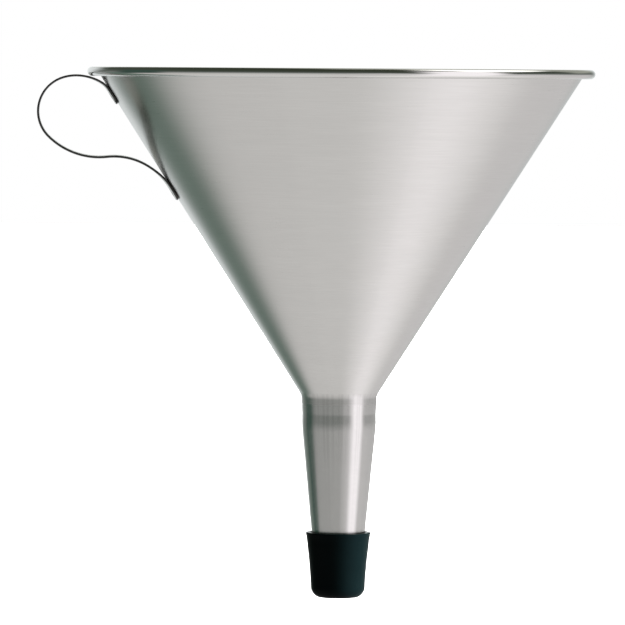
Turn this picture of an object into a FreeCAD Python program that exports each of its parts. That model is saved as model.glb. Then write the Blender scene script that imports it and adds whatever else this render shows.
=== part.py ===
"""Stainless steel funnel: a conical bowl with a rolled rim, a spout, a strip handle and a push-on cap.

Units are millimetres. Z is up along the funnel's axis, the origin is the centre of the cap's flat foot,
and the handle stands out towards -X.
"""

import FreeCAD, Part  # noqa: E401  FreeCAD has to be loaded first

import math
import os

from FreeCAD import Vector

# Bowl: one sheet, spun to a cone, with a rolled rim above and a short collar below.
RIM_RADIUS = 80.0  # outside the rolled bead
RIM_HEIGHT = 167.1  # top of the bead
HALF_ANGLE = math.radians(32.5)  # between the cone's wall and the axis
BOWL_SHEET = 0.6
BEAD_HEIGHT = 2.9
BEAD_FLANGE = 0.85  # flat stretch between the cone and the outer roll
BEAD_RETURN = 1.2  # flat stretch that comes back under the bead
COLLAR_BEND_RADIUS = 2.0  # middle of the sheet, where the cone turns into the collar
COLLAR_BOTTOM = 54.5

# Spout: a rolled tube that sleeves over the collar, straight at first and then tapered.
SPOUT_RADIUS = 11.6  # outside, where it sleeves over the collar
SPOUT_SHEET = 0.6
SPOUT_TOP = 61.4
TAPER_TOP = 53.0  # height where the straight and the tapered walls would meet
TAPER_ANGLE = math.radians(5.52)
TAPER_BEND_RADIUS = 20.0
SPOUT_TIP = 2.6

# Handle: a flat strip, spot welded to the cone by a tab at each end.
STRIP_WIDTH = 15.0
STRIP_THICKNESS = 0.7
UPPER_TAB_END = 10.2  # distances down the cone's wall from the underside of the bead
UPPER_TAB_LENGTH = 5.3
LOWER_TAB_LENGTH = 5.0
LOOP_BENDS = [(7.2, 23.5), (14.0, 52.5), (11.1, 117.0), (22.6, 51.0)]  # radius, degrees of turn
TAB_CORNER_RADIUS = 3.5
TAB_GAP = 0.1  # between a tab and the cone, round the welds
RIBBON_LIFT = 0.02  # keeps the flat strip off a tangent contact with the curved tabs
TAB_OVERLAP = 0.6  # of the flat strip onto each tab
WELD_RADIUS = 1.5
WELD_SPACING = 7.0  # between the two spots on a tab
WELD_DEPTH = 0.3  # into each of the two sheets

# Cap: a moulded cup with an even wall, pushed onto the spout's taper.
CAP_HEIGHT = 20.6
CAP_FOOT_RADIUS = 6.2  # flat part of the foot
CAP_CORNER = (7.75, 1.1)  # radius and height half way round the foot's rounding
CAP_BASE = (8.57, 3.6)  # side wall just above the rounding
CAP_MIDDLE = (9.06, 10.5)
CAP_SHOULDER = (9.72, 16.6)  # where the lip's flare begins
CAP_FLARE = (9.93, 18.6)
CAP_LIP_RADIUS = 10.28
CAP_FLOOR = 2.2
CAP_EDGE_ROUND = 0.3
SOCKET_GAP = 0.25  # between the socket's wall and the spout
GRIP_GAP = 0.05  # between a grip ring and the spout
GRIP_HEIGHTS = (6.0, 11.0, 16.0)

AXIS = Vector(0, 0, 1)
ORIGIN = Vector(0, 0, 0)


def at(x, z):
    """A point in the XZ plane, where every section is drawn."""
    return Vector(x, 0, z)


def heading(degrees):
    """The unit vector at that angle from +X towards +Z."""
    return at(math.cos(math.radians(degrees)), math.sin(math.radians(degrees)))


def sheet_section(start, degrees, thickness, moves):
    """The face of a sheet of even thickness, bent along a path in the XZ plane.

    The path runs along the middle of the sheet from start, in the direction degrees. A move is
    (length,) for a straight stretch or (radius, turn) for a bend, and a positive turn is to the left.
    """
    sides = {+1: [], -1: []}
    ends = []
    point = start
    for move in moves:
        aim = heading(degrees)
        left = heading(degrees + 90)
        if len(move) == 1:
            after = point + aim * move[0]
            for side in sides:
                offset = left * (side * thickness / 2)
                sides[side].append(Part.LineSegment(point + offset, after + offset).toShape())
            turn = 0
        else:
            radius, turn = move
            to_centre = math.copysign(1, turn)
            centre = point + left * (radius * to_centre)
            for side in sides:
                reach = radius - side * to_centre * thickness / 2
                spots = [
                    centre - heading(degrees + 90 + turn * share) * (reach * to_centre)
                    for share in (0, 0.5, 1)
                ]
                sides[side].append(Part.Arc(*spots).toShape())
            after = centre - heading(degrees + 90 + turn) * (radius * to_centre)
        if not ends:
            ends.append((point, left))
        point = after
        degrees += turn
    ends.append((point, heading(degrees + 90)))
    caps = [
        Part.LineSegment(p + n * (thickness / 2), p - n * (thickness / 2)).toShape() for p, n in ends
    ]
    loop = Part.__sortEdges__(sides[+1] + sides[-1] + caps)
    return Part.Face(Part.Wire(loop))


def revolved(face):
    return face.revolve(ORIGIN, AXIS, 360)


def polygon(points):
    return Part.Face(Part.makePolygon([*points, points[0]]))


# The cone's outer wall, from which the bowl's bends, the weld and the handle's tabs are placed.
SLOPE = math.tan(HALF_ANGLE)
BEAD_BEND_RADIUS = (BEAD_HEIGHT - BOWL_SHEET) / 2
BEAD_BOTTOM = RIM_HEIGHT - BEAD_HEIGHT
COLLAR_RADIUS = SPOUT_RADIUS - SPOUT_SHEET  # outside the collar, which fills the spout's bore
OUTER_TO_MIDDLE = BOWL_SHEET / 2 / math.cos(HALF_ANGLE)  # horizontally, on the cone


def bead_start():
    """Where the cone's middle line meets the first bend of the bead, as radius and height."""
    roll_centre = RIM_RADIUS - BOWL_SHEET / 2 - BEAD_BEND_RADIUS
    bend_centre = roll_centre - BEAD_FLANGE
    height = RIM_HEIGHT - BOWL_SHEET / 2 - BEAD_BEND_RADIUS
    return (
        bend_centre - BEAD_BEND_RADIUS * math.cos(HALF_ANGLE),
        height + BEAD_BEND_RADIUS * math.sin(HALF_ANGLE),
    )


def cone_radius(height):
    """The cone's outside radius at that height."""
    radius, top = bead_start()
    return radius + OUTER_TO_MIDDLE - (top - height) * SLOPE


def on_wall(down, out=0.0):
    """A point of the XZ plane on the handle's side: down the cone's wall from the bead, and out from it."""
    down_wall = at(math.sin(HALF_ANGLE), -math.cos(HALF_ANGLE))
    outward = at(-math.cos(HALF_ANGLE), -math.sin(HALF_ANGLE))
    return at(-cone_radius(BEAD_BOTTOM), BEAD_BOTTOM) + down_wall * down + outward * out


def make_bowl():
    top_radius, top_height = bead_start()
    middle = COLLAR_RADIUS - BOWL_SHEET / 2
    corner = top_height - (top_radius - middle) / SLOPE
    bend_reach = COLLAR_BEND_RADIUS * math.tan(HALF_ANGLE / 2)
    wall = math.hypot(top_radius - middle, top_height - corner) - bend_reach
    tilt = math.degrees(HALF_ANGLE)
    moves = [
        (corner - bend_reach - COLLAR_BOTTOM,),
        (COLLAR_BEND_RADIUS, -tilt),
        (wall,),
        (BEAD_BEND_RADIUS, tilt - 90),
        (BEAD_FLANGE,),
        (BEAD_BEND_RADIUS, -180),
        (BEAD_RETURN,),
    ]
    return revolved(sheet_section(at(middle, COLLAR_BOTTOM), 90, BOWL_SHEET, moves))


def make_spout():
    bend_reach = TAPER_BEND_RADIUS * math.tan(TAPER_ANGLE / 2)
    taper = (TAPER_TOP - SPOUT_TIP) / math.cos(TAPER_ANGLE) - bend_reach
    moves = [
        (SPOUT_TOP - TAPER_TOP - bend_reach,),
        (TAPER_BEND_RADIUS, -math.degrees(TAPER_ANGLE)),
        (taper,),
    ]
    start = at(SPOUT_RADIUS - SPOUT_SHEET / 2, SPOUT_TOP)
    return revolved(sheet_section(start, -90, SPOUT_SHEET, moves))


def make_neck_weld(bowl):
    """The fillet of weld metal that blends the spout's top edge into the cone."""
    meeting = BEAD_BOTTOM - (cone_radius(BEAD_BOTTOM) - SPOUT_RADIUS) / SLOPE
    reach = meeting - SPOUT_TOP
    radius = reach / math.tan(HALF_ANGLE / 2)
    centre = at(SPOUT_RADIUS + radius, SPOUT_TOP)
    tilt = math.degrees(HALF_ANGLE)
    low, middle, high = (centre - heading(-share * tilt) * radius for share in (0, 0.5, 1))
    inside = COLLAR_RADIUS - BOWL_SHEET / 2
    edges = [
        Part.Arc(low, middle, high).toShape(),
        Part.makeLine(high, at(inside, high.z)),
        Part.makeLine(at(inside, high.z), at(inside, SPOUT_TOP)),
        Part.makeLine(at(inside, SPOUT_TOP), low),
    ]
    ring = revolved(Part.Face(Part.Wire(edges))).cut(bowl)
    return max(ring.Solids, key=lambda solid: solid.BoundBox.XMax)


def make_tab(free_end, root):
    """A tab of the handle, curved to lie on the cone from its rounded free end to its root."""
    low, high = sorted((free_end, root))
    inner, outer = TAB_GAP, TAB_GAP + STRIP_THICKNESS
    section = [on_wall(low, inner), on_wall(high, inner), on_wall(high, outer), on_wall(low, outer)]
    half = STRIP_WIDTH / 2
    swing = 2 * math.degrees(math.asin(half / abs(section[1].x)))  # ample for the strip's width
    layer = polygon(section)
    layer.rotate(ORIGIN, AXIS, -swing)
    layer = layer.revolve(ORIGIN, AXIS, 2 * swing)
    depth = half  # of the cutting plate, either side of the wall
    plate = Part.makeBox(high - low, STRIP_WIDTH, 2 * depth, Vector(low, -half, -depth))
    corners = [
        edge
        for edge in plate.Edges
        if abs(edge.BoundBox.XLength) < 1e-6
        and abs(edge.BoundBox.YLength) < 1e-6
        and abs(edge.CenterOfMass.x - free_end) < 1e-6
    ]
    plate = plate.makeFillet(TAB_CORNER_RADIUS, corners)
    down = on_wall(1) - on_wall(0)
    out = on_wall(0, 1) - on_wall(0)
    frame = FreeCAD.Matrix()
    frame.A11, frame.A21, frame.A31 = down.x, down.y, down.z
    frame.A12, frame.A22, frame.A32 = 0, 1, 0
    frame.A13, frame.A23, frame.A33 = -out.x, -out.y, -out.z
    frame.A14, frame.A24, frame.A34 = on_wall(0).x, 0, on_wall(0).z
    return layer.common(plate.transformed(frame))


def handle_moves():
    """The strip's bends, from the upper tab's root round the loop to the lower tab's root.

    The last bend turns back to lie along the cone, and its radius makes the strip land on it.
    """
    rise, swept = 0.0, 0.0
    for radius, turn in LOOP_BENDS:
        before, swept = swept, swept + turn
        rise += radius * (math.cos(math.radians(before)) - math.cos(math.radians(swept)))
    back = swept - 180
    return_radius = rise / (1 - math.cos(math.radians(back)))
    return [*LOOP_BENDS, (return_radius, -back)]


def handle_reach(moves):
    """How far down the wall the path moves, from the upper tab's root to the lower one's."""
    swept, down = 180.0, 0.0
    for radius, turn in moves:
        before, swept = swept, swept - turn
        side = math.copysign(1, turn)
        down += radius * side * (math.sin(math.radians(before)) - math.sin(math.radians(swept)))
    return down


def make_handle():
    """The bent strip with a pocket for each weld nugget, and the nuggets."""
    moves = handle_moves()
    upper_root = UPPER_TAB_END - UPPER_TAB_LENGTH
    lower_root = upper_root + handle_reach(moves)
    print(f"handle: lower tab from {lower_root:.2f} mm down the wall, last bend {moves[-1][0]:.2f} mm")
    start = on_wall(upper_root + TAB_OVERLAP, TAB_GAP + RIBBON_LIFT + STRIP_THICKNESS / 2)
    up_wall = 90 + math.degrees(HALF_ANGLE)
    path = [(TAB_OVERLAP,), *moves, (TAB_OVERLAP,)]
    ribbon = sheet_section(start, up_wall, STRIP_THICKNESS, path)
    ribbon.translate(Vector(0, -STRIP_WIDTH / 2, 0))
    ribbon = ribbon.extrude(Vector(0, STRIP_WIDTH, 0))
    weld_rows = [upper_root + UPPER_TAB_LENGTH / 2, lower_root + LOWER_TAB_LENGTH / 2]
    spot_welds = make_spot_welds(weld_rows)
    tabs = [
        make_tab(UPPER_TAB_END, upper_root).cut(spot_welds.Solids),
        make_tab(lower_root + LOWER_TAB_LENGTH, lower_root).cut(spot_welds.Solids),
    ]
    return ribbon.fuse(tabs).removeSplitter(), spot_welds


def make_spot_welds(rows):
    """The weld nuggets, two to a tab, each sunk into the bowl's sheet and into the strip."""
    nuggets = []
    for row in rows:
        spot = on_wall(row, -WELD_DEPTH)
        out = on_wall(0, 1) - on_wall(0)
        swing = math.degrees(WELD_SPACING / 2 / abs(spot.x))
        for side in (-1, 1):
            nugget = Part.makeCylinder(WELD_RADIUS, 2 * WELD_DEPTH + TAB_GAP, spot, out)
            nugget.rotate(ORIGIN, AXIS, side * swing)
            nuggets.append(nugget)
    return Part.makeCompound(nuggets)


def spout_outside(height):
    """The outside radius of the spout's taper at that height."""
    return SPOUT_RADIUS - (TAPER_TOP - height) * math.tan(TAPER_ANGLE)


def make_cap():
    foot_edge = at(CAP_FOOT_RADIUS, 0)
    base, shoulder = at(*CAP_BASE), at(*CAP_SHOULDER)
    lip = at(CAP_LIP_RADIUS, CAP_HEIGHT - CAP_EDGE_ROUND)
    lip_top = at(CAP_LIP_RADIUS - CAP_EDGE_ROUND, CAP_HEIGHT)
    inset = CAP_EDGE_ROUND * (1 - math.sqrt(0.5))
    lip_middle = at(CAP_LIP_RADIUS - inset, CAP_HEIGHT - inset)
    edges = [
        Part.makeLine(ORIGIN, foot_edge),
        Part.Arc(foot_edge, at(*CAP_CORNER), base).toShape(),
        Part.Arc(base, at(*CAP_MIDDLE), shoulder).toShape(),
        Part.Arc(shoulder, at(*CAP_FLARE), lip).toShape(),
        Part.Arc(lip, lip_middle, lip_top).toShape(),
        Part.makeLine(lip_top, at(0, CAP_HEIGHT)),
        Part.makeLine(at(0, CAP_HEIGHT), ORIGIN),
    ]
    cup = revolved(Part.Face(Part.Wire(edges)))
    mouth = spout_outside(CAP_HEIGHT) + SOCKET_GAP
    floor = spout_outside(CAP_FLOOR) + SOCKET_GAP
    above = CAP_HEIGHT + 1
    socket = polygon(
        [
            at(0, CAP_FLOOR),
            at(floor, CAP_FLOOR),
            at(mouth, CAP_HEIGHT),
            at(mouth, above),
            at(0, above),
        ]
    )
    cap = cup.cut(revolved(socket))
    for height in GRIP_HEIGHTS:
        wall = spout_outside(height) + SOCKET_GAP
        ring = Part.makeTorus(wall, SOCKET_GAP - GRIP_GAP, at(0, height), AXIS)
        cap = cap.fuse(ring)
    return cap.removeSplitter()


def main():
    os.makedirs("parts", exist_ok=True)
    bowl = make_bowl()
    handle, spot_welds = make_handle()
    parts = {
        "neck_weld": make_neck_weld(bowl),
        "bowl": bowl.cut(spot_welds.Solids),
        "spout": make_spout(),
        "handle_strip": handle,
        "handle_spot_welds": spot_welds,
        "spout_cap": make_cap(),
    }
    for name, shape in parts.items():
        shape.exportStep(f"parts/{name}.step")
        print(f"{name}: {len(shape.Solids)} solid(s), valid {shape.isValid()}, {shape.Volume:.1f} mm3")


main()
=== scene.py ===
import math

import bpy
from mathutils import Euler, Matrix, Vector


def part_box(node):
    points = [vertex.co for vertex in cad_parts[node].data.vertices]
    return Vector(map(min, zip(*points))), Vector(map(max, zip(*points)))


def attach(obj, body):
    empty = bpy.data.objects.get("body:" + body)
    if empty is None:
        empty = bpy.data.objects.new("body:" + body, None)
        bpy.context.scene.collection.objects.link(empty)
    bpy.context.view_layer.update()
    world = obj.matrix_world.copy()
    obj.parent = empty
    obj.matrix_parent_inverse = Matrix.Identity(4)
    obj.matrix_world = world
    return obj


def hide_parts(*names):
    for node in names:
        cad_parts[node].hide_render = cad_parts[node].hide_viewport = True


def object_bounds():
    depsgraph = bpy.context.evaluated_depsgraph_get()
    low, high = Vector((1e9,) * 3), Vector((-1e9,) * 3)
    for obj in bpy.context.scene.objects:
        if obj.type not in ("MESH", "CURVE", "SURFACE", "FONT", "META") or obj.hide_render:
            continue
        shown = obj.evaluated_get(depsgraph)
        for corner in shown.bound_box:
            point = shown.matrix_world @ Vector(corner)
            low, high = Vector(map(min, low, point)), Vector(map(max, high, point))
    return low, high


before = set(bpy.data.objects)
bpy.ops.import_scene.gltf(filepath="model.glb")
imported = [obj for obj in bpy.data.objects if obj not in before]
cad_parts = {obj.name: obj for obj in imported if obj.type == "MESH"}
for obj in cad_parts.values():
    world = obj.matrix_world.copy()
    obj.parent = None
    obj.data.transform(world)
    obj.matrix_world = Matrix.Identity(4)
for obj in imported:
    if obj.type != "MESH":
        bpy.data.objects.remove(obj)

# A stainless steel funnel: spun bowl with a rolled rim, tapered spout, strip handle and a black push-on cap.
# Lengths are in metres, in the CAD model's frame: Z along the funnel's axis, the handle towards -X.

MM = 0.001
CAD_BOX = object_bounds()
BOWL_LOW, BOWL_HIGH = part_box("bowl")
SPOUT_LOW, SPOUT_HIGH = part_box("spout")
STRIP_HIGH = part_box("handle_strip")[1]
CAP_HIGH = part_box("spout_cap")[1]

# Bowl, as in the CAD model.
RIM_RADIUS = BOWL_HIGH.y
RIM_HEIGHT = BOWL_HIGH.z
HALF_ANGLE = math.radians(32.5)
SLOPE = math.tan(HALF_ANGLE)
SHEET = 0.6 * MM
BEAD_HEIGHT = 2.9 * MM
BEAD_FLANGE = 0.85 * MM
BEAD_RETURN = 1.2 * MM
BEAD_BEND = (BEAD_HEIGHT - SHEET) / 2
COLLAR_BEND = 2.0 * MM
ROUND_STEPS = 8  # faces round a sheet's rounded end

# Spout and weld.
SPOUT_RADIUS = SPOUT_HIGH.y
TAPER_TOP = 53.0 * MM
TAPER_ANGLE = math.radians(5.52)
COLLAR_RADIUS = SPOUT_RADIUS - SHEET
WAIST_BEND = 25.0 * MM  # bends below and, half as large, above the waist
WAIST_LENGTH = 2.0 * MM
WAIST_LEAN = 0.8  # degrees that the waist leans in, going up
NECK_LEAN = 2.86  # degrees that the neck opens out above the waist
NECK_BEND = 4.0 * MM

# Handle strip.
STRIP_THICKNESS = 0.7 * MM
UPPER_TAB_END = 10.2 * MM
UPPER_TAB_LENGTH = 5.3 * MM
LOWER_TAB_LENGTH = 5.0 * MM
LOOP_BENDS = [(7.2 * MM, 23.5), (14.0 * MM, 52.5), (11.1 * MM, 117.0), (22.6 * MM, 51.0)]
TAB_CORNER = 3.5 * MM
TAB_GAP = 0.1 * MM
TAB_SETTLE = 9.0 * MM  # length over which a tab, curved to the cone, becomes flat
STRIP_COLUMNS = 56
EDGE_ROUND = 0.22 * MM
EDGE_STEPS = 4
END_ROUND = 0.25 * MM
SHEARED = "sheared"  # the vertex attribute that marks the cut edges
WELD_SPACING = 7.0 * MM
WELD_RADIUS = 1.5 * MM
CRATER_RADIUS = 0.95 * MM
CRATER_DEPTH = 0.16 * MM
CRATER_LIP = 0.035 * MM
CRATER_LIP_WIDTH = 0.3 * MM

# Cap. Its side is arcs, going up: a point on the arc, the arc's end and the number of steps.
CAP_FLOOR = 2.2 * MM
FLOOR_ROUND = 0.5 * MM
SOCKET_GAP = 0.25 * MM
MOUTH_ROUND = 0.25 * MM
GRIP_HEIGHTS = (16.0 * MM, 11.0 * MM, 6.0 * MM)
GRIP_SIZE = 0.2 * MM
GRIP_STEPS = 8
GATE_RADIUS = 1.1 * MM
GATE_DEPTH = 0.3 * MM
RECESS_RADIUS = 4.6 * MM
RECESS_SLOPE = 0.5 * MM
FOOT_RECESS = 0.35 * MM
FOOT_RADIUS = 6.2 * MM
CAP_SIDE = [
    ((7.75 * MM, 1.1 * MM), (8.57 * MM, 3.6 * MM), 12),
    ((9.06 * MM, 10.5 * MM), (9.72 * MM, 16.6 * MM), 14),
]
LIP_FLARE = (9.93 * MM, 18.6 * MM)
LIP_ROUND = 0.3 * MM
ARC_MIDDLE = 0.3  # how far the middle of a corner's round lies from the corner, as a share of the round


# ---------------------------------------------------------------- outlines

def bent_path(start, degrees, moves, run_step=6 * MM, arc_step=6.0):
    """Stations (x, z, heading in degrees, distance) along straights (length,) and bends (radius, turn)."""
    x, z, gone = start[0], start[1], 0.0
    stations = [(x, z, degrees, gone)]
    for move in moves:
        if len(move) == 1:
            aim = math.radians(degrees)
            for share in run_shares(move[0], run_step):
                run = move[0] * share
                stations.append((x + run * math.cos(aim), z + run * math.sin(aim), degrees, gone + run))
            x, z, _, gone = stations[-1]
            continue
        radius, turn = move
        side = math.copysign(1, turn)
        away = math.radians(degrees + 90)
        centre = (x + side * radius * math.cos(away), z + side * radius * math.sin(away))
        count = max(2, math.ceil(abs(turn) / arc_step))
        for k in range(1, count + 1):
            aim = degrees + turn * k / count
            away = math.radians(aim + 90)
            stations.append(
                (
                    centre[0] - side * radius * math.cos(away),
                    centre[1] - side * radius * math.sin(away),
                    aim,
                    gone + radius * math.radians(abs(turn)) * k / count,
                )
            )
        x, z, degrees, gone = stations[-1]
    return stations


def run_shares(length, run_step):
    """Where a straight's stations lie: close to both ends, so that the bends' shading stays in the bends."""
    support = min(0.25 * MM, length / 3) / length
    count = max(1, math.ceil(length / run_step))
    inner = [support + (1 - 2 * support) * k / count for k in range(count + 1)]
    return [*inner, 1.0]


def side_point(station, offset):
    """The point beside a station, offset to its left."""
    x, z, degrees, _ = station
    away = math.radians(degrees + 90)
    return x + offset * math.cos(away), z + offset * math.sin(away)


def sheet_outline(stations, thickness):
    """The closed outline of a sheet along its middle line. Rounded ends are added past the last stations."""
    half = thickness / 2
    outline = [side_point(s, half) for s in stations]
    x, z, degrees, _ = stations[-1]
    for k in range(1, ROUND_STEPS):
        angle = math.radians(degrees + 90 - 180 * k / ROUND_STEPS)
        outline.append((x + half * math.cos(angle), z + half * math.sin(angle)))
    outline += [side_point(s, -half) for s in reversed(stations)]
    x, z, degrees, _ = stations[0]
    for k in range(1, ROUND_STEPS):
        angle = math.radians(degrees - 90 - 180 * k / ROUND_STEPS)
        outline.append((x + half * math.cos(angle), z + half * math.sin(angle)))
    return outline


def arc_through(a, b, c, steps):
    """Points of the circular arc from a through b to c, without a itself."""
    ax, ay, bx, by, cx, cy = *a, *b, *c
    d = 2 * (ax * (by - cy) + bx * (cy - ay) + cx * (ay - by))
    aa, bb, cc = ax * ax + ay * ay, bx * bx + by * by, cx * cx + cy * cy
    ux = (aa * (by - cy) + bb * (cy - ay) + cc * (ay - by)) / d
    uy = (aa * (cx - bx) + bb * (ax - cx) + cc * (bx - ax)) / d
    radius = math.hypot(ax - ux, ay - uy)
    first = math.atan2(ay - uy, ax - ux)
    last = math.atan2(cy - uy, cx - ux)
    sweep = (last - first + math.pi) % (2 * math.pi) - math.pi
    angles = [first + sweep * k / steps for k in range(1, steps + 1)]
    return [(ux + radius * math.cos(t), uy + radius * math.sin(t)) for t in angles]


def straight(a, b, steps):
    """Points of the straight from a to b, without a itself."""
    shares = [k / steps for k in range(1, steps + 1)]
    return [(a[0] + (b[0] - a[0]) * t, a[1] + (b[1] - a[1]) * t) for t in shares]


# ---------------------------------------------------------------- meshes

def finish_mesh(name, vertices, faces, uvs, sharp_degrees, edges=None):
    """The object of a mesh. The edges are each vertex's share of the sheared edge's finish."""
    mesh = bpy.data.meshes.new(name)
    mesh.from_pydata(vertices, [], faces)
    layer = mesh.uv_layers.new(name="UVMap")
    flat = [uv for face in uvs for uv in face]
    for loop, uv in zip(layer.data, flat):
        loop.uv = uv
    mesh.polygons.foreach_set("use_smooth", [True] * len(mesh.polygons))
    mesh.set_sharp_from_angle(angle=math.radians(sharp_degrees))
    if edges is not None:
        mesh.attributes.new(SHEARED, "FLOAT", "POINT").data.foreach_set("value", edges)
    mesh.validate()
    mesh.update()
    piece = bpy.data.objects.new(name, mesh)
    bpy.context.scene.collection.objects.link(piece)
    return piece


def lathe(name, outline, around, sharp_degrees=40):
    """Turns a closed, anticlockwise outline of (radius, height) about Z. A point on the axis is shared."""
    rings, vertices = [], []
    length, lengths = 0.0, [0.0]
    for here, after in zip(outline, [*outline[1:], outline[0]]):
        length += math.dist(here, after)
        lengths.append(length)
    for radius, height in outline:
        if radius < 1e-7:
            rings.append([len(vertices)] * around)
            vertices.append((0, 0, height))
            continue
        rings.append(list(range(len(vertices), len(vertices) + around)))
        for k in range(around):
            angle = 2 * math.pi * k / around
            vertices.append((radius * math.cos(angle), radius * math.sin(angle), height))
    faces, uvs = [], []
    for i in range(len(outline)):
        low, high = rings[i], rings[(i + 1) % len(outline)]
        v0, v1 = lengths[i], lengths[i + 1]
        if low[0] == low[1] and high[0] == high[1]:
            continue
        for k in range(around):
            n = (k + 1) % around
            u0, u1 = k / around, (k + 1) / around
            if low[0] == low[1]:
                faces.append((low[k], high[n], high[k]))
                uvs.append(((u0, v0), (u1, v1), (u0, v1)))
            elif high[0] == high[1]:
                faces.append((low[k], low[n], high[k]))
                uvs.append(((u0, v0), (u1, v0), (u0, v1)))
            else:
                faces.append((low[k], low[n], high[n], high[k]))
                uvs.append(((u0, v0), (u1, v0), (u1, v1), (u0, v1)))
    return finish_mesh(name, vertices, faces, uvs, sharp_degrees)


# ---------------------------------------------------------------- bowl, spout and neck

def bead_start():
    """Where the cone's middle line meets the bead's first bend: radius and height."""
    bend_centre = RIM_RADIUS - SHEET / 2 - BEAD_BEND - BEAD_FLANGE
    height = RIM_HEIGHT - SHEET / 2 - BEAD_BEND
    return (
        bend_centre - BEAD_BEND * math.cos(HALF_ANGLE),
        height + BEAD_BEND * math.sin(HALF_ANGLE),
    )


def cone_radius(height):
    """The cone's outside radius at that height."""
    radius, top = bead_start()
    return radius + SHEET / 2 / math.cos(HALF_ANGLE) - (top - height) * SLOPE


def make_bowl():
    """The spun sheet: the collar, the cone, and the rim rolled outwards and down."""
    radius, top = bead_start()
    middle = COLLAR_RADIUS - SHEET / 2
    corner = top - (radius - middle) / SLOPE
    bend_reach = COLLAR_BEND * math.tan(HALF_ANGLE / 2)
    wall = math.hypot(radius - middle, top - corner) - bend_reach
    tilt = math.degrees(HALF_ANGLE)
    bottom = BOWL_LOW.z + SHEET / 2
    moves = [
        (corner - bend_reach - bottom,),
        (COLLAR_BEND, -tilt),
        (wall,),
        (BEAD_BEND, tilt - 90),
        (BEAD_FLANGE,),
        (BEAD_BEND, -180),
        (BEAD_RETURN - SHEET / 2,),
    ]
    outline = sheet_outline(bent_path((middle, bottom), 90, moves), SHEET)
    return lathe("bowl_spun", outline[::-1], 256)


def spout_outside(height):
    """The taper's outside radius at that height."""
    return SPOUT_RADIUS - (TAPER_TOP - height) * math.tan(TAPER_ANGLE)


def spout_stations():
    """The spout's middle line from its tip up: the taper, the swaged waist and the flare up to the weld."""
    tip = SPOUT_LOW.z + SHEET / 2
    start = (spout_outside(tip) - SHEET / 2 / math.cos(TAPER_ANGLE), tip)
    taper = (TAPER_TOP - tip) / math.cos(TAPER_ANGLE)
    lean = math.degrees(TAPER_ANGLE)
    moves = [
        (taper,),
        (WAIST_BEND, lean + WAIST_LEAN),
        (WAIST_LENGTH,),
        (WAIST_BEND / 2, -WAIST_LEAN - NECK_LEAN),
    ]
    below = bent_path(start, 90 - lean, moves, run_step=0.5 * MM, arc_step=0.5)
    flare = (SPOUT_HIGH.z - below[-1][1]) / math.cos(math.radians(NECK_LEAN))
    return bent_path(start, 90 - lean, [*moves, (flare,)], run_step=0.5 * MM, arc_step=0.5)


def make_spout(stations):
    """The drawn tube, with a rounded tip. Its top is square, where the weld goes on."""
    outline = sheet_outline(stations, SHEET)
    inside = [side_point(station, SHEET / 2) for station in stations]
    outside = [side_point(station, -SHEET / 2) for station in reversed(stations)]
    tip_round = outline[1 - ROUND_STEPS:]
    return lathe("spout_tube", [*inside, *outside, *tip_round][::-1], 160)


def make_neck_weld(stations):
    """The ground weld that runs on from the spout's flare and curves out into the cone."""
    foot = side_point(stations[-1], -SHEET / 2)
    slope = math.tan(math.radians(NECK_LEAN))
    cone_foot = cone_radius(foot[1])
    rise = (foot[0] - cone_foot) / (SLOPE - slope)
    turn = math.degrees(HALF_ANGLE) - NECK_LEAN
    reach = NECK_BEND * math.tan(math.radians(turn / 2))
    run = rise / math.cos(math.radians(NECK_LEAN)) - reach
    moves = [(run,), (NECK_BEND, -turn)]
    skin = [side_point(s, 0) for s in bent_path(foot, 90 - NECK_LEAN, moves, run_step=0.4 * MM, arc_step=1.5)]
    sunk = 0.15 * MM
    rise_in_cone = 0.1 * MM
    root = COLLAR_RADIUS + 0.1 * MM
    root_height = 1.2 * MM
    high = skin[-1]
    hidden = [(high[0] - sunk, high[1] + rise_in_cone), (root, foot[1] + root_height), (root, foot[1])]
    return lathe("neck_fillet", skin + hidden, 160)


# ---------------------------------------------------------------- handle

def on_wall(down, out=0.0, across=0.0):
    """A point beside the cone on the handle's side: down its wall from the bead, out from it, and across."""
    bead_bottom = RIM_HEIGHT - BEAD_HEIGHT
    radius = cone_radius(bead_bottom) - down * math.sin(HALF_ANGLE) + out * math.cos(HALF_ANGLE)
    height = bead_bottom - down * math.cos(HALF_ANGLE) - out * math.sin(HALF_ANGLE)
    return Vector((-math.sqrt(radius * radius - across * across), across, height))


def handle_stations():
    """The strip's middle line, from the upper tab's end round the loop to the lower tab's end."""
    swept, rise = 0.0, 0.0
    for radius, turn in LOOP_BENDS:
        before, swept = math.radians(swept), swept + turn
        rise += radius * (math.cos(before) - math.cos(math.radians(swept)))
    back = swept - 180
    last = rise / (1 - math.cos(math.radians(back)))
    moves = [(UPPER_TAB_LENGTH,), *LOOP_BENDS, (last, -back), (LOWER_TAB_LENGTH,)]
    start = on_wall(UPPER_TAB_END, TAB_GAP + STRIP_THICKNESS / 2)
    up_wall = 90 + math.degrees(HALF_ANGLE)
    return bent_path((start.x, start.z), up_wall, moves, run_step=0.22 * MM, arc_step=3.0)


def eased(share):
    """A smooth step from 0 to 1."""
    share = min(1.0, max(0.0, share))
    return share * share * (3 - 2 * share)


def corner_inset(distance, radius):
    """How far a rounded corner has drawn in its side at this distance from the end."""
    if distance >= radius:
        return 0.0
    return radius - math.sqrt(max(0.0, radius * radius - (radius - distance) ** 2))


def weld_dimple(distance):
    """Height of the electrode's mark: a shallow crater with a raised lip."""
    crater = -CRATER_DEPTH * math.exp(-((distance / CRATER_RADIUS) ** 4))
    lip = CRATER_LIP * math.exp(-(((distance - WELD_RADIUS) / CRATER_LIP_WIDTH) ** 2))
    return crater + lip


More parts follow.
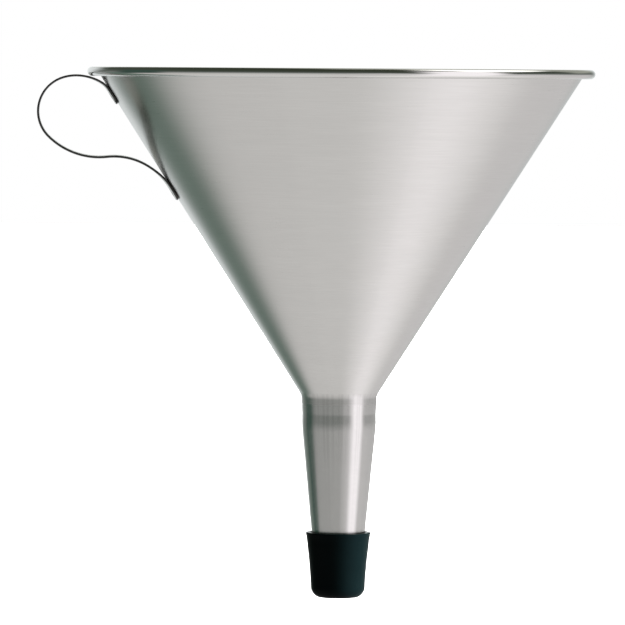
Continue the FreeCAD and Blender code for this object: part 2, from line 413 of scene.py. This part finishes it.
def strip_section(half_width, half_thick, mark_of):
    """The strip's cross-section: how far across, how high, and the share of the sheared edge's finish."""
    inner = half_width - EDGE_ROUND
    section = []
    for face in (1, -1):
        for k in range(STRIP_COLUMNS + 1):
            across = face * inner * (2 * k / STRIP_COLUMNS - 1)
            section.append((across, face * (half_thick + mark_of(face, across)), 0.0))
        for k in range(1, EDGE_STEPS):
            angle = math.pi * k / EDGE_STEPS
            across = face * (inner + EDGE_ROUND * math.sin(angle))
            section.append((across, face * half_thick * math.cos(angle), 1.0))
    return section


def strip_ring(station, from_end, upper):
    """The cross-section in place: its points, and each one's share of the sheared edge's finish."""
    tab = UPPER_TAB_LENGTH if upper else LOWER_TAB_LENGTH
    towards_wall = -1 if upper else 1
    wrap = 1 - eased((from_end - tab) / TAB_SETTLE)
    drop = corner_inset(from_end, END_ROUND)
    half_width = STRIP_HIGH.y - corner_inset(from_end, TAB_CORNER) - drop
    half_thick = STRIP_THICKNESS / 2 - drop
    radius = cone_radius(station[1])

    def mark_of(face, across):
        if face == towards_wall:
            return 0.0
        return weld_dimple(math.hypot(from_end - tab / 2, abs(across) - WELD_SPACING / 2))

    points, edges = [], []
    for across, lift, sheared in strip_section(half_width, half_thick, mark_of):
        bow = (radius - math.sqrt(radius * radius - across * across)) * math.cos(HALF_ANGLE)
        x, z = side_point(station, lift + towards_wall * wrap * bow)
        points.append((x, across, z))
        edges.append(1.0 if from_end < END_ROUND else sheared)
    return points, edges


def strip_faces(stations, count):
    """The faces between the cross-sections, each of count points, and at both ends, with their UVs."""
    faces, uvs = [], []
    for i in range(len(stations) - 1):
        low, high = i * count, (i + 1) * count
        u0, u1 = stations[i][3], stations[i + 1][3]
        for k in range(count):
            n = (k + 1) % count
            faces.append((low + k, low + n, high + n, high + k))
            v0, v1 = k / count, (k + 1) / count
            uvs.append(((u0, v0), (u0, v1), (u1, v1), (u1, v0)))
    shift = STRIP_COLUMNS + EDGE_STEPS // 2
    for base, flip in ((0, True), ((len(stations) - 1) * count, False)):
        ring = [base + (shift + k) % count for k in range(count)]
        for k in range(count // 2 - 1):
            face = (ring[k], ring[k + 1], ring[count - 2 - k], ring[count - 1 - k])
            faces.append(face[::-1] if flip else face)
            uvs.append(((0, 0), (0, 1), (1, 1), (1, 0)))
    return faces, uvs


def make_handle(stations):
    total = stations[-1][3]
    vertices, edges = [], []
    for station in stations:
        gone = station[3]
        ring, ring_edges = strip_ring(station, min(gone, total - gone), gone < total / 2)
        vertices += ring
        edges += ring_edges
    faces, uvs = strip_faces(stations, len(vertices) // len(stations))
    return finish_mesh("handle_loop", vertices, faces, uvs, 50, edges)


def weld_rows(stations):
    """How far down the wall each pair of spot welds lies."""
    end = stations[-1]
    foot = on_wall(0)
    lower_end = math.hypot(end[0] - foot.x, end[1] - foot.z)
    return [UPPER_TAB_END - UPPER_TAB_LENGTH / 2, lower_end - LOWER_TAB_LENGTH / 2]


def weld_disc(row, across, out, facing, vertices, faces, uvs):
    """One electrode mark: a shallow dished disc on the strip, or on the bowl's inside when facing is -1."""
    rings, around = 10, 32
    base = len(vertices)
    skin, depth = 0.012 * MM, 0.1 * MM
    outer = WELD_RADIUS * 1.1
    for k in range(rings + 1):
        radius = outer * k / rings
        for j in range(around):
            angle = 2 * math.pi * j / around
            lift = out + facing * (skin + weld_dimple(radius))
            down, side = row + radius * math.cos(angle), across + radius * math.sin(angle)
            vertices.append(on_wall(down, lift, side))
    for j in range(around):
        angle = 2 * math.pi * j / around
        down = row + outer * math.cos(angle)
        side = across + outer * math.sin(angle)
        vertices.append(on_wall(down, out - facing * depth, side))
    for k in range(rings + 1):
        for j in range(around):
            n = (j + 1) % around
            a, b = base + k * around, base + (k + 1) * around
            face = (a + j, a + n, b + n, b + j)
            faces.append(face if facing < 0 else face[::-1])
            uvs.append(((0, 0), (1, 0), (1, 1), (0, 1)))
    for first, flip in ((base, facing < 0), (base + (rings + 1) * around, facing > 0)):
        ring = list(range(first, first + around))
        faces.append(ring[::-1] if flip else ring)
        uvs.append([(0.5, 0.5)] * around)


def make_spot_welds(stations):
    """The electrodes' marks on both sides of the four welds."""
    vertices, faces, uvs = [], [], []
    for row in weld_rows(stations):
        for side in (-1, 1):
            across = side * WELD_SPACING / 2
            weld_disc(row, across, TAB_GAP + STRIP_THICKNESS, 1, vertices, faces, uvs)
            weld_disc(row, across, -SHEET, -1, vertices, faces, uvs)
    return finish_mesh("spot_weld_marks", vertices, faces, uvs, 40)


# ---------------------------------------------------------------- cap

def cap_outside():
    """The cap's outline from the middle of the foot up to the lip's top."""
    top, lip = CAP_HIGH.z, CAP_HIGH.y
    outline = [(0.0, FOOT_RECESS + GATE_DEPTH)]
    gate_side = (GATE_RADIUS * 0.6, FOOT_RECESS + GATE_DEPTH * 0.7)
    outline += arc_through(outline[-1], gate_side, (GATE_RADIUS, FOOT_RECESS), 6)
    outline += straight(outline[-1], (RECESS_RADIUS, FOOT_RECESS), 4)
    recess_side = (RECESS_RADIUS + RECESS_SLOPE / 2, FOOT_RECESS * 0.7)
    outline += arc_through(outline[-1], recess_side, (RECESS_RADIUS + RECESS_SLOPE, 0.0), 4)
    outline += straight(outline[-1], (FOOT_RADIUS, 0.0), 3)
    for middle, end, steps in CAP_SIDE:
        outline += arc_through(outline[-1], middle, end, steps)
    outline += arc_through(outline[-1], LIP_FLARE, (lip, top - LIP_ROUND), 8)
    inset = LIP_ROUND * ARC_MIDDLE
    return outline + arc_through(outline[-1], (lip - inset, top - inset), (lip - LIP_ROUND, top), 6)


def cap_socket(start):
    """The rest of the outline, from the lip's top down the socket's wall and its grip rings to the floor."""
    top = CAP_HIGH.z
    mouth = spout_outside(top) + SOCKET_GAP
    outline = straight(start, (mouth + MOUTH_ROUND, top), 4)
    inset = MOUTH_ROUND * ARC_MIDDLE
    outline += arc_through(outline[-1], (mouth + inset, top - inset), (mouth, top - MOUTH_ROUND), 5)
    for height in GRIP_HEIGHTS:
        wall = spout_outside(height) + SOCKET_GAP
        outline += straight(outline[-1], (wall, height + GRIP_SIZE), 6)
        for k in range(1, GRIP_STEPS + 1):
            angle = math.pi * k / GRIP_STEPS
            outline.append((wall - GRIP_SIZE * math.sin(angle), height + GRIP_SIZE * math.cos(angle)))
    wall = spout_outside(CAP_FLOOR) + SOCKET_GAP
    outline += straight(outline[-1], (wall, CAP_FLOOR + FLOOR_ROUND), 4)
    inset = FLOOR_ROUND * ARC_MIDDLE
    outline += arc_through(outline[-1], (wall - inset, CAP_FLOOR + inset), (wall - FLOOR_ROUND, CAP_FLOOR), 5)
    return outline + straight(outline[-1], (0.0, CAP_FLOOR), 4)


def make_cap():
    outside = cap_outside()
    return lathe("cap_moulding", outside + cap_socket(outside[-1]), 128)


# ---------------------------------------------------------------- materials

BRUSH_LINES = 2600.0  # per metre
WARMTH = 0.012


class Tree:
    """Short ways to add shader nodes to one material or world."""

    def __init__(self, owner):
        owner.use_nodes = True
        self.tree = owner.node_tree
        self.tree.nodes.clear()

    def add(self, kind, **settings):
        node = self.tree.nodes.new(kind)
        for name, value in settings.items():
            setattr(node, name, value)
        return node

    def put(self, socket, value):
        if isinstance(value, bpy.types.NodeSocket):
            self.tree.links.new(value, socket)
        else:
            socket.default_value = value

    def math(self, operation, *values, clamp=False):
        node = self.add("ShaderNodeMath", operation=operation, use_clamp=clamp)
        for socket, value in zip(node.inputs, values):
            self.put(socket, value)
        return node.outputs[0]

    def combine(self, x, y, z):
        node = self.add("ShaderNodeCombineXYZ")
        for socket, value in zip(node.inputs, (x, y, z)):
            self.put(socket, value)
        return node.outputs[0]

    def ramp(self, value, low, high, to_low=0.0, to_high=1.0, kind="SMOOTHSTEP"):
        node = self.add("ShaderNodeMapRange", interpolation_type=kind)
        for name, number in zip(
            ("Value", "From Min", "From Max", "To Min", "To Max"), (value, low, high, to_low, to_high)
        ):
            self.put(node.inputs[name], number)
        return node.outputs["Result"]

    def mix(self, share, a, b):
        node = self.add("ShaderNodeMix", data_type="RGBA")
        self.put(node.inputs["Factor"], share)
        self.put(node.inputs["A"], a)
        self.put(node.inputs["B"], b)
        return node.outputs["Result"]

    def noise(self, vector, scale, detail=3.0, roughness=0.55):
        node = self.add("ShaderNodeTexNoise")
        self.put(node.inputs["Vector"], vector)
        node.inputs["Scale"].default_value = scale
        node.inputs["Detail"].default_value = detail
        node.inputs["Roughness"].default_value = roughness
        return node.outputs["Fac"]


def grey(level, warm=0.0):
    """A light grey, a little warmer or, when warm is negative, a little bluer."""
    return (level * (1 + warm), level, level * (1 - warm), 1.0)


def turned_vector(tree, along, across):
    """Coordinates for marks that run round the axis: along per turn, across per metre of height."""
    place = tree.add("ShaderNodeTexCoord").outputs["Object"]
    split = tree.add("ShaderNodeSeparateXYZ")
    tree.put(split.inputs[0], place)
    x, y, z = split.outputs
    radius = tree.math("SQRT", tree.math("ADD", tree.math("MULTIPLY", x, x), tree.math("MULTIPLY", y, y)))
    radius = tree.math("ADD", radius, 1e-5)
    return tree.combine(
        tree.math("MULTIPLY", tree.math("DIVIDE", x, radius), along),
        tree.math("MULTIPLY", tree.math("DIVIDE", y, radius), along),
        tree.math("MULTIPLY", z, across),
    )


def above(tree, start, end):
    """A mask that rises from 0 to 1 between two heights."""
    place = tree.add("ShaderNodeTexCoord").outputs["Object"]
    split = tree.add("ShaderNodeSeparateXYZ")
    tree.put(split.inputs[0], place)
    return tree.ramp(split.outputs["Z"], start, end)


def rolled_rim(tree):
    """The mask of the rim's bead, which is polished by the rolling."""
    bottom = RIM_HEIGHT - BEAD_HEIGHT
    return above(tree, bottom - 0.2 * MM, bottom + 0.4 * MM)


def sheared_edge(tree):
    """The mask of the strip's cut edges, which are dull and dark."""
    return tree.add("ShaderNodeAttribute", attribute_name=SHEARED).outputs["Fac"]


def strip_vector(tree, along, across):
    """Coordinates for marks that run along the strip: along and across per metre."""
    place = tree.add("ShaderNodeTexCoord").outputs["Object"]
    split = tree.add("ShaderNodeSeparateXYZ")
    tree.put(split.inputs[0], place)
    x, y, z = split.outputs
    return tree.combine(
        tree.math("MULTIPLY", x, along), tree.math("MULTIPLY", y, across), tree.math("MULTIPLY", z, along)
    )


def steel(name, vector_of, level, roughness, anisotropy, other_finish=None, drawn=0.0):
    """Satin stainless steel with fine directional brush lines, faint handling marks and uneven gloss.

    The other finish is the mask of where it is, its share of the level and its change of roughness.
    Drawn is the strength of the dull streaks that drawing a tube leaves along it, strongest near its top.
    The highlights are stretched across the brush lines, which is what the anisotropic rotation is for.
    """
    material = bpy.data.materials.new(name)
    tree = Tree(material)
    shader = tree.add("ShaderNodeBsdfPrincipled")
    output = tree.add("ShaderNodeOutputMaterial")
    tree.put(output.inputs["Surface"], shader.outputs[0])
    lines = tree.noise(vector_of(tree, 5.0, BRUSH_LINES), 1.0, detail=4.0, roughness=0.65)
    bands = tree.noise(vector_of(tree, 1.5, BRUSH_LINES / 9), 1.0, detail=3.0)
    place = tree.add("ShaderNodeTexCoord").outputs["Object"]
    cloud = tree.noise(place, 38.0, detail=4.0)
    grain = tree.noise(place, 900.0, detail=2.0)
    tone = tree.mix(lines, grey(level * 0.9, WARMTH), grey(level * 1.1, WARMTH))
    tone = tree.mix(tree.ramp(bands, 0.3, 0.7, 0.0, 0.35), tone, grey(level * 0.95, WARMTH))
    tone = tree.mix(tree.ramp(cloud, 0.42, 0.7, 0.0, 0.25), tone, grey(level * 1.04, WARMTH * 0.3))
    if drawn > 0:
        streaks = tree.noise(turned_vector(tree, 16.0, 12.0), 1.0, detail=3.0)
        shown = tree.math("ADD", 0.3, tree.math("MULTIPLY", 0.7, above(tree, TAPER_TOP - 16 * MM, TAPER_TOP)))
        dull = tree.math("MULTIPLY", tree.ramp(streaks, 0.42, 0.62, 0.0, drawn), shown)
        tone = tree.mix(dull, tone, grey(level * 0.84, WARMTH))
    rough = tree.math("ADD", roughness - 0.05, tree.math("MULTIPLY", lines, 0.06))
    rough = tree.math("ADD", rough, tree.math("MULTIPLY", cloud, 0.05))
    if other_finish is not None:
        mask_of, share, rougher = other_finish
        mask = mask_of(tree)
        tone = tree.mix(mask, tone, grey(level * share, WARMTH))
        rough = tree.math("ADD", rough, tree.math("MULTIPLY", mask, rougher))
    tree.put(shader.inputs["Base Color"], tone)
    tree.put(shader.inputs["Roughness"], rough)
    shader.inputs["Metallic"].default_value = 1.0
    shader.inputs["Anisotropic"].default_value = anisotropy
    shader.inputs["Anisotropic Rotation"].default_value = 0.25
    relief = tree.math("ADD", tree.math("MULTIPLY", lines, 0.7), tree.math("MULTIPLY", grain, 0.3))
    bump = tree.add("ShaderNodeBump")
    bump.inputs["Strength"].default_value = 0.09
    bump.inputs["Distance"].default_value = 0.02 * MM
    tree.put(bump.inputs["Height"], relief)
    tree.put(shader.inputs["Normal"], bump.outputs["Normal"])
    return material


def black_plastic():
    """Black moulded plastic: satin, with a fine grain, faint flow lines and a few rubbed, shinier places."""
    material = bpy.data.materials.new("black_moulded_plastic")
    tree = Tree(material)
    shader = tree.add("ShaderNodeBsdfPrincipled")
    output = tree.add("ShaderNodeOutputMaterial")
    tree.put(output.inputs["Surface"], shader.outputs[0])
    place = tree.add("ShaderNodeTexCoord").outputs["Object"]
    grain = tree.noise(place, 2600.0, detail=3.0)
    cloud = tree.noise(place, 160.0, detail=4.0)
    flow = tree.noise(turned_vector(tree, 1.2, 700.0), 1.0, detail=2.0)
    tone = tree.mix(cloud, (0.0005, 0.0017, 0.0019, 1.0), (0.0009, 0.0026, 0.0029, 1.0))
    tone = tree.mix(tree.ramp(grain, 0.55, 0.8, 0.0, 0.5), tone, (0.0013, 0.0038, 0.0042, 1.0))
    tree.put(shader.inputs["Base Color"], tone)
    rough = tree.math("ADD", 0.3, tree.math("MULTIPLY", cloud, 0.14))
    rough = tree.math("ADD", rough, tree.math("MULTIPLY", flow, 0.06))
    lip = above(tree, CAP_HIGH.z - 0.5 * MM, CAP_HIGH.z - 0.2 * MM)
    rough = tree.math("MULTIPLY", rough, tree.math("SUBTRACT", 1.0, tree.math("MULTIPLY", lip, 0.85)))
    tree.put(shader.inputs["Roughness"], rough)
    shader.inputs["IOR"].default_value = 1.5
    shader.inputs["Specular IOR Level"].default_value = 0.03
    relief = tree.math("ADD", tree.math("MULTIPLY", grain, 0.6), tree.math("MULTIPLY", flow, 0.4))
    bump = tree.add("ShaderNodeBump")
    bump.inputs["Strength"].default_value = 0.25
    bump.inputs["Distance"].default_value = 0.03 * MM
    tree.put(bump.inputs["Height"], relief)
    tree.put(shader.inputs["Normal"], bump.outputs["Normal"])
    return material


# ---------------------------------------------------------------- studio

# The upper room is dark, the table and walls below are light. Heights are sines of elevation.
ROOM_HEIGHTS = [-1.0, -0.75, -0.42, -0.26, -0.13, 0.0, 0.17, 0.42, 1.0]
ROOM_COLOURS = [
    (0.92, 0.91, 0.89),
    (0.86, 0.85, 0.83),
    (0.72, 0.71, 0.69),
    (0.55, 0.55, 0.54),
    (0.36, 0.375, 0.36),
    (0.2, 0.22, 0.205),
    (0.13, 0.15, 0.13),
    (0.07, 0.085, 0.065),
    (0.05, 0.06, 0.04),
]
# Cards: azimuth from the camera's side towards +X, half width, softness; lowest and highest elevation and
# their softness, in degrees; colour; and how fully the card covers what is behind it.
CARDS = [
    ("right_wall", 76, 29, 36, -90, -24, 22, (1.13, 1.11, 1.1), 0.8),
    ("right_bounce", 84, 5, 34, -72, -42, 16, (1.38, 1.34, 1.34), 0.55),
    ("right_table", 84, 62, 26, -30, -6, 9, (0.86, 0.84, 0.84), 0.72),
    ("backdrop", -173, 10, 24, -60, 12, 10, (0.87, 0.91, 0.91), 1.0),
    ("left_flag_low", -137, 8, 20, -44, -12, 12, (0.165, 0.225, 0.19), 1.0),
    ("left_flag_high", -108, 9, 14, -14, 20, 8, (0.06, 0.105, 0.085), 1.0),
    ("soft_box", 57, 11, 17, -40, 40, 12, (1.48, 1.43, 1.46), 1.0),
    ("rear_right", 160, 20, 16, 14, 78, 10, (0.5, 0.52, 0.45), 0.8),
    ("overhead_box", 110, 28, 20, 42, 66, 10, (2.2, 2.2, 2.1), 1.0),
]
# Lamps: name, strength, spread in degrees, and the way the light goes.
LAMPS = [
    ("overhead", 3.9, 60, (-0.25, 0.2, -1.0)),
    ("right_key", 56.0, 30, (-1.0, 0.06, -0.1)),
]


def make_world():
    """The light by direction: the room's gradient with the cards laid over it. The camera sees white."""
    world = bpy.data.worlds.new("studio")
    bpy.context.scene.world = world
    tree = Tree(world)
    split = tree.add("ShaderNodeSeparateXYZ")
    tree.put(split.inputs[0], tree.add("ShaderNodeTexCoord").outputs["Generated"])
    x, y, z = split.outputs
    azimuth = tree.math("ARCTAN2", x, tree.math("MULTIPLY", y, -1.0))
    elevation = tree.math("ARCSINE", z)
    room = tree.add("ShaderNodeValToRGB")
    room.color_ramp.interpolation = "EASE"
    tree.put(room.inputs["Fac"], tree.ramp(z, -1.0, 1.0, kind="LINEAR"))
    steps = room.color_ramp.elements
    while len(steps) < len(ROOM_HEIGHTS):
        steps.new(0.5)
    for step, height, colour in zip(steps, ROOM_HEIGHTS, ROOM_COLOURS):
        step.position = (height + 1) / 2
        step.color = (*colour, 1.0)
    light = room.outputs["Color"]
    for _, centre, half, soft, low, high, fade, colour, cover in CARDS:
        off = tree.math("WRAP", tree.math("SUBTRACT", azimuth, math.radians(centre)), math.pi, -math.pi)
        beside = tree.math("ABSOLUTE", off)
        inside = tree.ramp(beside, math.radians(half + soft), math.radians(half))
        past_low = tree.ramp(elevation, math.radians(low - fade), math.radians(low))
        past_high = tree.ramp(elevation, math.radians(high + fade), math.radians(high))
        share = tree.math("MULTIPLY", tree.math("MULTIPLY", inside, past_low), past_high)
        light = tree.mix(tree.math("MULTIPLY", share, cover), light, (*colour, 1.0))
    seen = tree.add("ShaderNodeLightPath").outputs["Is Camera Ray"]
    background = tree.add("ShaderNodeBackground")
    tree.put(background.inputs["Color"], tree.mix(seen, light, grey(1.0)))
    output = tree.add("ShaderNodeOutputWorld")
    tree.put(output.inputs["Surface"], background.outputs[0])
    world.cycles.sampling_method = "MANUAL"
    world.cycles.sample_map_resolution = 1024


def make_floor():
    """A plain white floor, low enough to clear the cap when it is pulled off."""
    half, level = 6.0, CAD_BOX[0].z - 46 * MM
    corners = [(-half, -half, level), (half, -half, level), (half, half, level), (-half, half, level)]
    mesh = bpy.data.meshes.new("floor")
    mesh.from_pydata(corners, [], [(0, 1, 2, 3)])
    floor = bpy.data.objects.new("floor", mesh)
    bpy.context.scene.collection.objects.link(floor)
    material = bpy.data.materials.new("floor_white")
    tree = Tree(material)
    shader = tree.add("ShaderNodeBsdfDiffuse")
    tree.put(shader.inputs["Color"], grey(0.92))
    output = tree.add("ShaderNodeOutputMaterial")
    tree.put(output.inputs["Surface"], shader.outputs[0])
    mesh.materials.append(material)
    floor.visible_glossy = False
    floor.visible_diffuse = False


def make_lamps():
    """Soft lamps for the floor and the cap, which aren't mirrored in the steel."""
    for name, energy, spread, aim in LAMPS:
        lamp = bpy.data.lights.new(name, "SUN")
        lamp.angle = math.radians(spread)
        lamp.energy = energy
        holder = bpy.data.objects.new(name, lamp)
        holder.rotation_euler = Vector(aim).to_track_quat("-Z", "Y").to_euler()
        holder.visible_glossy = False
        bpy.context.scene.collection.objects.link(holder)


def make_camera():
    """A long lens at the rim's height, looking slightly down, level with the strip handle's edge."""
    camera = bpy.data.cameras.new("camera")
    camera.lens = 329.0
    camera.sensor_width = 36.0
    camera.clip_end = 50.0
    holder = bpy.data.objects.new("camera", camera)
    pitch, yaw, roll = 2.436, 2.433, 0.394
    turn = Euler((math.radians(90 - pitch), 0, math.radians(-yaw))).to_matrix().to_4x4()
    place = Matrix.Translation((-0.08507, -1.8, 0.16666))
    holder.matrix_world = place @ turn @ Matrix.Rotation(math.radians(roll), 4, "Z")
    bpy.context.scene.collection.objects.link(holder)
    bpy.context.scene.camera = holder


# ---------------------------------------------------------------- assembly

def show(piece, body, node, material):
    """Puts a finished piece on its body, in its node's place."""
    piece.data.materials.append(material)
    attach(piece, body)
    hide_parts(node)


make_camera()
make_world()
make_floor()
make_lamps()

strip_path = handle_stations()
spout_path = spout_stations()
bowl_steel = steel("spun_steel", turned_vector, 0.6, 0.285, 0.75, (rolled_rim, 1.0, -0.175))
spout_steel = steel("turned_steel", turned_vector, 0.61, 0.24, 0.7, drawn=0.55)
weld_steel = steel("ground_weld", turned_vector, 0.61, 0.33, 0.7, drawn=0.55)
strip_steel = steel("strip_steel", strip_vector, 0.55, 0.26, 0.0, (sheared_edge, 0.14, 0.1))

show(make_bowl(), "funnel", "bowl", bowl_steel)
show(make_spout(spout_path), "funnel", "spout", spout_steel)
show(make_neck_weld(spout_path), "funnel", "neck_weld", weld_steel)
show(make_handle(strip_path), "funnel", "handle_strip", strip_steel)
show(make_spot_welds(strip_path), "funnel", "handle_spot_welds", weld_steel)
show(make_cap(), "cap", "spout_cap", black_plastic())

bpy.context.scene.view_settings.view_transform = "Standard"
